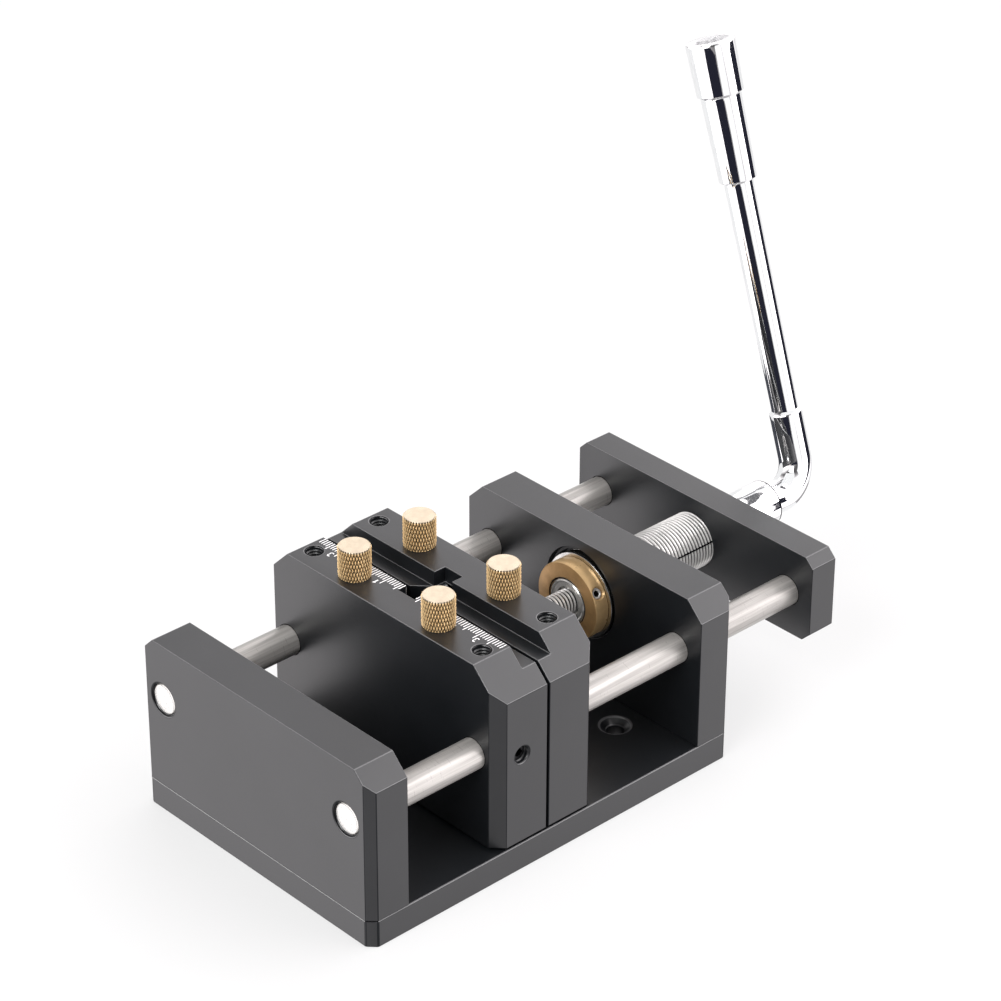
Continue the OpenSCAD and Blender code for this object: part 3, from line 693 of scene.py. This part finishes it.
def hole_thread(origin, axis, depth):
    """The ridge of an inner M6 thread, as an open strip just inside a hole."""
    top = 0.5
    crest = 2.28
    wall = 2.63
    pitch = 1.0
    count = 40
    out = Vector(axis).normalized()
    side = out.orthogonal().normalized()
    other = out.cross(side)
    marks = ((0.0, 0.0), (0.34, 1.0), (0.46, 1.0), (0.80, 0.0))
    verts, faces, rows = [], [], []
    for phase, height in marks:
        row = []
        steps = int((depth - top) / pitch * count)
        for i in range(steps + 1):
            turn = i / count
            fade = min(1.0, turn * 1.5)
            radius = wall - (wall - crest) * height * fade
            angle = 2 * math.pi * turn
            point = (Vector(origin) - out * (top + pitch * (turn + phase - 0.4))
                     + side * radius * math.cos(angle) + other * radius * math.sin(angle))
            row.append(len(verts))
            verts.append(tuple(point))
        rows.append(row)
    for a, b in zip(rows, rows[1:]):
        for i in range(len(a) - 1):
            faces.append((a[i], a[i + 1], b[i + 1], b[i]))
    return verts, faces


def jaw_threads(row):
    """The threads of a jaw's two empty holes."""
    return [hole_thread((row, side * FREE_Y, TOP_Z), (0, 0, 1), TAP_DEPTH) for side in (-1, 1)]


side_threads = [hole_thread((JAW_1_X + JAW_T / 2, side * SIDE_Y, AXIS_Z), (0, side, 0), 5.0)
                for side in (-1, 1)]
make("front_jaw_threads", *joined(*jaw_threads(ROW_1), *side_threads), ANODISED,
     "front_carriage", "anodised_dark", sharp=30.0)
make("rear_jaw_threads", *joined(*jaw_threads(ROW_2)), ANODISED, "rear_carriage",
     "anodised_dark", sharp=30.0)

# Thin pieces of painted shade and painted highlight where faces meet or a bore opens


def gap_ring(centre, axis, r=ROD_R + ROD_CLEAR, width=0.27):
    """Painted shade: the dark rim of a bore where it opens in a face; axis points out of the face."""
    out = Vector(axis)
    side = out.orthogonal().normalized()
    other = out.cross(side)
    verts, faces, count = [], [], 64
    for depth, radius in ((-SUNK, r), (FILM, r), (FILM, r + width), (-SUNK, r + width)):
        for i in range(count):
            angle = 2 * math.pi * i / count
            verts.append(tuple(Vector(centre) + out * depth
                               + (side * math.cos(angle) + other * math.sin(angle)) * radius))
    for j in range(4):
        for i in range(count):
            a, b = j * count + i, j * count + (i + 1) % count
            faces.append((a, b, (b + count) % len(verts), (a + count) % len(verts)))
    return verts, faces


def rod_rings(*places):
    """Rims of painted shade round both rods, at each X and the way its face looks."""
    return [gap_ring((x, side * ROD_Y, AXIS_Z), (out, 0, 0)) for x, out in places for side in (-1, 1)]


def shade_crescent(side):
    """The shaded side of the bore in front of a rod's end, as a crescent: a circle shifted
    against the rod, without the rod."""
    count = 72
    shift = Vector((0.17, -0.14))
    far = 4.93
    inner = ROD_R + ROD_CLEAR
    verts, faces = [], []
    for i in range(count):
        angle = 2 * math.pi * i / count
        way = Vector((math.cos(angle), math.sin(angle)))
        lean = shift.dot(way)
        reach = lean + math.sqrt(far ** 2 - shift.length_squared + lean ** 2)
        for depth in (FILM, -SUNK):
            for r in (inner, max(reach, inner + 0.005)):
                verts.append((FRONT_X - depth, side * ROD_Y + way.x * r, AXIS_Z + way.y * r))
    for i in range(count):
        a, b = 4 * i, 4 * ((i + 1) % count)
        faces += [(a, a + 1, b + 1, b), (a + 1, a + 3, b + 3, b + 1), (a + 3, a + 2, b + 2, b + 3),
                  (a + 2, a, b, b + 2)]
    return verts, faces


def slab(middle, along, across, half):
    """A thin block from its middle, two of its directions and its three half sizes."""
    first, second = Vector(along).normalized(), Vector(across).normalized()
    third = first.cross(second)
    verts = [tuple(Vector(middle) + first * i * half[0] + second * j * half[1] + third * k * half[2])
             for i in (-1, 1) for j in (-1, 1) for k in (-1, 1)]
    return verts, [(0, 1, 3, 2), (4, 6, 7, 5), (0, 4, 5, 1), (2, 3, 7, 6), (0, 2, 6, 4), (1, 5, 7, 3)]


# The seam between the base plate and the end plates: a pale line of painted highlight along the base's
# top edge, and painted shade in the groove at the corner cuts
seam_long = (SIDE_Y - CORNER_CUT - 0.1, 0.16, FILM)
seam_short = (CORNER_CUT / math.sqrt(2), 0.22, FILM)
light_seams = [slab((sx * REAR_X, 0, BASE_T - 0.14), (0, 1, 0), (0, 0, 1), seam_long)
               for sx in (-1, 1)]
dark_seams = [slab((sx * (REAR_X - CORNER_CUT / 2), sy * (SIDE_Y - CORNER_CUT / 2), BASE_T),
                   (sx, -sy, 0), (0, 0, 1), seam_short) for sx in (-1, 1) for sy in (-1, 1)]
make("base_seam_light", *joined(*light_seams), SEAM_HIGHLIGHT, "base", "anodised_dark")
make("base_seam_dark", *joined(*dark_seams), DULL, "base", "anodised_dark")

# A thin dull black strip along the large thread: a painted dark reflection
DARK_LINE_TURN = math.radians(161.5)
DARK_LINE_WAY = (0, math.cos(DARK_LINE_TURN), math.sin(DARK_LINE_TURN))
dark_line_middle = Vector(((REAR_X + THREAD_END) / 2, 0, AXIS_Z)) + Vector(DARK_LINE_WAY) * 8.6
dark_line_half = ((THREAD_END - REAR_X) / 2 - 1, 0.43, 0.22)
make("screw_slot_line", *slab(dark_line_middle, (1, 0, 0), DARK_LINE_WAY, dark_line_half), DULL, "screw",
     "turned_steel")
# Painted shade where the journal passes through the collar's bore.
make("screw_nose_gap", *gap_ring((COLLAR_X, 0, AXIS_Z), (-1, 0, 0), JOURNAL_R, 0.25), DULL,
     "screw", "turned_steel", sharp=30.0)

# Painted shade at the rods' bores in the plates and jaws, and at the rims of the empty holes in the jaw
# tops
plate_rings = rod_rings((-PLATE_X, 1), (PLATE_X, -1), (REAR_X, 1))
make("base_rod_gaps", *joined(*plate_rings, shade_crescent(-1), shade_crescent(1)), DULL,
     "base", "anodised_dark", sharp=30.0)
CARRIAGES = (("front", ROW_1, ((JAW_1_X, -1), (YOKE_X, -1))), ("rear", ROW_2, ((JAW_2_BACK, 1),)))
for name, row, rods in CARRIAGES:
    rims = [gap_ring((row, side * FREE_Y, TOP_Z), (0, 0, 1), TAP_R, 0.22) for side in (-1, 1)]
    make(f"{name}_bore_rims", *joined(*rod_rings(*rods), *rims), DULL, f"{name}_carriage",
         "anodised_dark", sharp=30.0)

# Crank wrench

ARM = Vector((0, math.sin(LEAN), math.cos(LEAN)))
CORNER = Vector((ARM_X, 0, AXIS_Z))
BEND_START = ARM_X - BEND - CRANK_X
BEND_ARC = BEND * math.pi / 2


def crank_station(s):
    """Centre and direction at a distance along the crank's middle line, from the mouth of the
    short socket."""
    if s <= BEND_START:
        return Vector((CRANK_X + s, 0, AXIS_Z)), Vector((1, 0, 0))
    if s <= BEND_START + BEND_ARC:
        t = (s - BEND_START) / BEND
        centre = CORNER - Vector((BEND, 0, 0)) + ARM * BEND
        point = centre + Vector((1, 0, 0)) * BEND * math.sin(t) - ARM * BEND * math.cos(t)
        return point, Vector((math.cos(t), 0, 0)) + ARM * math.sin(t)
    return CORNER + ARM * (BEND + s - BEND_START - BEND_ARC), ARM.copy()


def shoulder(s0, r0, s1, r1, steps=9):
    """A rounded step from one radius to another."""
    made = []
    for i in range(steps + 1):
        t = i / steps
        made.append((s0 + (s1 - s0) * (1 - math.cos(math.pi * t)) / 2 * 0.5 + (s1 - s0) * t * 0.5,
                     r0 + (r1 - r0) * (t - math.sin(2 * math.pi * t) / (2 * math.pi))))
    return made


def ring_points(centre, way, radius_at):
    """One ring of the crank round its middle line, with a radius for each angle."""
    side = Vector((1, 0, 0)).cross(ARM).normalized()
    other = way.cross(side).normalized()
    made = []
    for i in range(CRANK_ROUND):
        angle = 2 * math.pi * i / CRANK_ROUND
        r = radius_at(angle)
        made.append(tuple(centre + side * r * math.cos(angle) + other * r * math.sin(angle)))
    return made


def crank_profile():
    """Pairs of distance and radius along the crank, from the short socket to the arm's tip."""
    lift = BEND_START + BEND_ARC - BEND

    def up(a):
        return lift + a

    line = [(0.0, 7.0), (0.12, 7.28), (0.42, 7.46), (0.8, SOCKET_R), (8.0, SOCKET_R)]
    line += [(20.6, SOCKET_R), (21.0, 7.44), (21.3, 7.25)] + shoulder(21.4, 7.1, 22.2, TUBE_R)
    line += [(BEND_START, TUBE_R)]
    line += [(BEND_START + BEND_ARC * i / 14, TUBE_R) for i in range(1, 15)]
    line += [(up(18.0), TUBE_R), (up(24.3), TUBE_R), (up(24.9), 5.1), (up(25.3), 4.7)]
    line += [(up(25.6), 4.3), (up(26.2), 4.25), (up(60.0), 4.42), (up(98.6), 4.6)]
    line += [(up(99.9), 4.62)] + shoulder(up(100.0), 4.65, up(100.7), 5.95)
    line += [(up(115.0), 6.2), (up(126.2), 6.4)]
    line += [(up(127.3), 6.42)] + shoulder(up(127.4), 6.45, up(128.2), 7.4)
    line += [(up(138.0), 7.62), (up(143.6), 7.75), (up(ARM_TIP - 0.5), 7.68)]
    line += [(up(ARM_TIP - 0.12), 7.45), (up(ARM_TIP), 7.15)]
    return line


def crank_mesh():
    """The crank's outside as rings along its profile, and the hexagon sockets in its two ends."""
    corner = SOCKET_FLATS / 2 / math.cos(math.pi / 6)
    line = crank_profile()
    verts, rows = [], []

    def add_ring(points):
        rows.append(list(range(len(verts), len(verts) + CRANK_ROUND)))
        verts.extend(points)

    for s, r in line:
        add_ring(ring_points(*crank_station(s), lambda angle: r))
    for s0, inward, turn in ((0.0, 1, -LEAN), (line[-1][0], -1, math.pi / 2)):
        for deep in SOCKET_DEPTHS:
            add_ring(ring_points(*crank_station(s0 + inward * deep),
                                 lambda angle: max(hex_radius(angle + turn, SOCKET_FLATS),
                                                   corner + 0.15 - deep)))
    outside, steps = len(line), len(SOCKET_DEPTHS)
    low = rows[outside:outside + steps]
    high = rows[outside + steps:]
    rows = low[::-1] + rows[:outside] + high
    faces = []
    for a, b in zip(rows, rows[1:]):
        for i in range(CRANK_ROUND):
            j = (i + 1) % CRANK_ROUND
            faces.append((a[i], a[j], b[j], b[i]))
    faces.append(tuple(rows[0][::-1]))
    faces.append(tuple(rows[-1]))
    return verts, faces


crank = make("crank_polished", *crank_mesh(), CHROME, "crank", "chromed_steel", ["crank_wrench"],
             sharp=35.0)
crank.data.materials.append(SATIN)
socket_points = 2 * len(SOCKET_DEPTHS) * CRANK_ROUND
for face in crank.data.polygons:
    if min(face.vertices) >= len(crank.data.vertices) - socket_points:
        face.material_index = 1

# A thin dark ring at the socket's shoulder: painted shade.
shoulder_line = lathe_x([(CRANK_X + 20.5, 7.45), (CRANK_X + 20.5, 7.506), (CRANK_X + 20.9, 7.475),
                         (CRANK_X + 21.15, 7.38), (CRANK_X + 21.15, 7.2)])
make("crank_shoulder_line", *shoulder_line, DULL, "crank", "chromed_steel", sharp=30.0)

# Engraved scale on the front jaw

LINE = 0.32
DIGIT_LINE = 0.36
DIGIT_HIGH = 2.0
LIFT = TOP_Z + FILM


def stroke(points, width=LINE):
    """A flat ribbon along points in the top plane of the jaw."""
    verts, faces = [], []
    pts = [Vector(p) for p in points]
    for i, p in enumerate(pts):
        before = pts[i - 1] if i else p
        after = pts[i + 1] if i < len(pts) - 1 else p
        way = (after - before).normalized()
        side = Vector((-way.y, way.x)) * width / 2
        bend = 1.0
        if 0 < i < len(pts) - 1:
            one = (p - before).normalized()
            bend = 1 / max(0.5, way.dot(one))
        verts += [(p.x + side.x * bend, p.y + side.y * bend, LIFT),
                  (p.x - side.x * bend, p.y - side.y * bend, LIFT)]
    for i in range(len(pts) - 1):
        a = 2 * i
        faces.append((a + 1, a + 3, a + 2, a))
    return verts, faces


def arc_points(middle, wide, high, start, sweep):
    """Nine points of an arc in a digit, from a start angle over a clockwise sweep."""
    turns = [math.radians(start - sweep * i / 8) for i in range(9)]
    return [(wide * math.cos(t), middle + high * math.sin(t)) for t in turns]


def glyph(digit, x, y):
    """A digit that reads upright from the rear of the vise: its up is -X, its right is +Y."""
    if digit == "1":
        lines = [[(-0.22, 0.75), (0.05, 1.0), (0.05, 0.0)]]
    elif digit == "2":
        lines = [arc_points(0.72, 0.27, 0.27, 170, 215) + [(-0.28, 0.02), (0.3, 0.02)]]
    else:
        lines = [arc_points(0.74, 0.25, 0.25, 150, 235), arc_points(0.27, 0.28, 0.27, 85, 235)]
    return [stroke([(x - py * DIGIT_HIGH, y + px * DIGIT_HIGH) for px, py in line], DIGIT_LINE)
            for line in lines]


marks = []
for side in (-1, 1):
    for mm in range(4, 40):
        reach = 2.85
        if mm % 10 == 0:
            reach = 4.8
        elif mm % 5 == 0:
            reach = 4.05
        place = side * (mm - 0.3)
        marks.append(stroke([(STEP_X - 0.12, place), (STEP_X - reach, place)]))
    for ten in (10, 20, 30):
        marks += glyph(str(ten // 10), STEP_X - 3.9, side * (ten + 1.2))
make("scale_lines", *joined(*marks), WHITE, "front_carriage", "anodised_dark")

# Stage, in metres


def floor():
    """Pale paper just under the part, which no reflection shows."""
    size = 6.0
    mesh = bpy.data.meshes.new("floor")
    mesh.from_pydata([(-size, -size, 0), (size, -size, 0), (size, size, 0), (-size, size, 0)], [],
                     [(0, 1, 2, 3)])
    plane = bpy.data.objects.new("floor", mesh)
    scene.collection.objects.link(plane)
    plane.location.z = -0.00006
    mat, tree, shader = new_material("floor_paper")
    noise = mapped_noise(tree, 8.0, detail=2.0)
    tree.links.new(mix_colour(tree, noise, (0.195, 0.195, 0.195), (0.205, 0.205, 0.205)),
                   shader.inputs["Base Color"])
    shader.inputs["Roughness"].default_value = 0.8
    shader.inputs["Emission Color"].default_value = (1, 1, 1, 1)
    shader.inputs["Emission Strength"].default_value = 0.66
    mesh.materials.append(mat)
    plane.visible_glossy = False


def card(name, bearing, distance, width, low, high, colour, strength=1.0):
    """A studio card that only glossy reflections see, upright at a bearing from the crank's arm."""
    a = math.radians(bearing)
    middle = Vector((ARM_X * MM + distance * math.cos(a), distance * math.sin(a), 0))
    across = Vector((-math.sin(a), math.cos(a), 0)) * width / 2
    stage_card(name, [middle - across + Vector((0, 0, low)), middle + across + Vector((0, 0, low)),
                      middle + across + Vector((0, 0, high)), middle - across + Vector((0, 0, high))],
               colour, strength)


def stage_card(name, corners, colour, strength):
    """A flat card from four corners. Neither the camera nor soft light sees it."""
    mesh = bpy.data.meshes.new(name)
    mesh.from_pydata([tuple(c) for c in corners], [], [(0, 1, 2, 3)])
    sheet = bpy.data.objects.new(name, mesh)
    scene.collection.objects.link(sheet)
    mat, tree, shader = new_material(name)
    noise = mapped_noise(tree, 90.0, detail=2.0)
    tree.links.new(mix_colour(tree, noise, tuple(c * 0.7 for c in colour), colour),
                   shader.inputs["Emission Color"])
    shader.inputs["Base Color"].default_value = (0, 0, 0, 1)
    shader.inputs["Specular IOR Level"].default_value = 0.0
    shader.inputs["Emission Strength"].default_value = strength
    mesh.materials.append(mat)
    sheet.visible_camera = False
    sheet.visible_diffuse = False
    sheet.visible_shadow = False
    sheet.visible_transmission = False
    sheet.visible_volume_scatter = False


def softbox(name, place, aim, size, power):
    """An area light that looks from its place at another one."""
    light = bpy.data.lights.new(name, "AREA")
    light.shape = "RECTANGLE"
    light.size, light.size_y = size
    light.energy = power
    lamp = bpy.data.objects.new(name, light)
    scene.collection.objects.link(lamp)
    lamp.location = place
    way = Vector(aim) - Vector(place)
    lamp.rotation_mode = "QUATERNION"
    lamp.rotation_quaternion = way.to_track_quat("-Z", "Y")
    lamp.visible_camera = False


# Soft lights of the room: azimuth and elevation in degrees, and strength. SPREAD is how many
# degrees from its middle a light fades out.
AMBIENT = 0.11
SPREAD = 52
LIGHTS = ((135, -30, 0.8), (180, -30, 0.6), (225, -30, 0.5), (315, -30, 0.5),
          (45, 0, 0.8), (135, 0, 1.4), (180, 0, 0.7), (315, 0, 1.6),
          (0, 30, 1.0), (45, 30, 0.8), (315, 30, 1.7), (0, 60, 0.4), (315, 60, 0.8))


def world():
    """A pale room with a few soft bright areas, and a white backdrop for the camera."""
    w = bpy.data.worlds.new("studio")
    scene.world = w
    w.use_nodes = True
    tree = w.node_tree
    tree.nodes.clear()
    coord = tree.nodes.new("ShaderNodeTexCoord")
    total = None
    for azimuth, elevation, strength in LIGHTS:
        a, e = math.radians(azimuth), math.radians(elevation)
        dot = tree.nodes.new("ShaderNodeVectorMath")
        dot.operation = "DOT_PRODUCT"
        dot.inputs[1].default_value = (math.cos(a) * math.cos(e), math.sin(a) * math.cos(e), math.sin(e))
        tree.links.new(coord.outputs["Generated"], dot.inputs[0])
        soft = tree.nodes.new("ShaderNodeMapRange")
        soft.interpolation_type = "SMOOTHSTEP"
        soft.inputs["From Min"].default_value = math.cos(math.radians(SPREAD))
        soft.inputs["From Max"].default_value = 1.0
        soft.inputs["To Max"].default_value = strength
        tree.links.new(dot.outputs["Value"], soft.inputs["Value"])
        add = tree.nodes.new("ShaderNodeMath")
        add.operation = "ADD"
        tree.links.new(soft.outputs["Result"], add.inputs[0])
        if total is None:
            add.inputs[1].default_value = AMBIENT
        else:
            tree.links.new(total, add.inputs[1])
        total = add.outputs[0]
    room = tree.nodes.new("ShaderNodeBackground")
    tree.links.new(total, room.inputs["Strength"])
    backdrop = tree.nodes.new("ShaderNodeBackground")
    backdrop.inputs["Strength"].default_value = 1.0
    room.inputs["Color"].default_value = (1.0, 0.965, 0.98, 1)
    backdrop.inputs["Color"].default_value = (1.0, 1.0, 1.0, 1)
    path = tree.nodes.new("ShaderNodeLightPath")
    mix = tree.nodes.new("ShaderNodeMixShader")
    tree.links.new(path.outputs["Is Camera Ray"], mix.inputs["Fac"])
    tree.links.new(room.outputs["Background"], mix.inputs[1])
    tree.links.new(backdrop.outputs["Background"], mix.inputs[2])
    out = tree.nodes.new("ShaderNodeOutputWorld")
    tree.links.new(mix.outputs["Shader"], out.inputs["Surface"])


def camera():
    """The photograph's camera, from the fit to the object's corners."""
    data = bpy.data.cameras.new("camera")
    cam = bpy.data.objects.new("camera", data)
    scene.collection.objects.link(cam)
    az = math.radians(-42.9546)
    el = math.radians(30.5528)
    roll = math.radians(0.1913)
    back = Vector((math.sin(az) * math.cos(el), -math.cos(az) * math.cos(el), math.sin(el)))
    right = Vector((math.cos(az), math.sin(az), 0))
    up = back.cross(right)
    across = right * math.cos(roll) + up * math.sin(roll)
    upward = up * math.cos(roll) - right * math.sin(roll)
    place = Matrix((across, upward, back)).transposed().to_4x4()
    place.translation = Vector((-0.602623, -0.672686, 0.628012))
    cam.matrix_world = place
    data.sensor_width = 36.0
    data.angle = math.radians(15.4153)
    data.clip_start = 0.05
    data.clip_end = 50.0
    scene.camera = cam


floor()
world()
softbox("key", (-0.80, -0.20, 0.74), (0.03, 0.0, 0.04), (0.6, 0.6), 10.0)

# Dark flags and white papers round the chromed crank: upright ones by bearing, distance,
# width and the heights of their lower and upper edge
FLAG = (0.020, 0.021, 0.034)
PAPER = (1.0, 1.0, 1.0)
card("flag_front", 214.7, 1.0, 0.81, -0.24, 0.32, FLAG)
card("flag_side", 334.0, 1.1, 0.74, -0.27, 0.27, FLAG)
card("paper_right", 256.5, 1.2, 0.66, -0.12, 0.9, PAPER, 1.25)
card("paper_back", 45.0, 1.2, 1.1, -1.2, -0.2, PAPER, 1.1)
card("paper_far", 8.0, 1.2, 0.55, -0.7, -0.05, PAPER)


def side_card(name, low, high, colour, strength):
    """A card beside the crank's left, behind the rods."""
    y = 0.2
    corners = [(0.0, y, low), (0.3, y, low), (0.3, y, high), (0.0, y, high)]
    stage_card(name, corners, colour, strength)


def flat_card(name, z, x0, x1, y0, y1, colour, strength):
    """A level card under or over the part."""
    stage_card(name, [(x0, y0, z), (x1, y0, z), (x1, y1, z), (x0, y1, z)], colour, strength)


stage_card("flag_high", [(1.25, -0.6, 1.17), (1.25, 0.9, 1.17), (1.25, 0.9, 1.37), (1.25, -0.6, 1.37)],
           (0.20, 0.20, 0.21), 1.0)
side_card("paper_left", -0.045, 0.14, PAPER, 1.05)
side_card("flag_low", -0.25, -0.045, (0.07, 0.075, 0.09), 1.0)
flat_card("paper_under", -0.3, 0.02, 0.5, -0.15, 0.3, PAPER, 1.1)
flat_card("paper_roof", 1.3, -0.7, 0.9, -0.8, 0.8, PAPER, 1.15)
camera()
scene.view_settings.view_transform = "Standard"
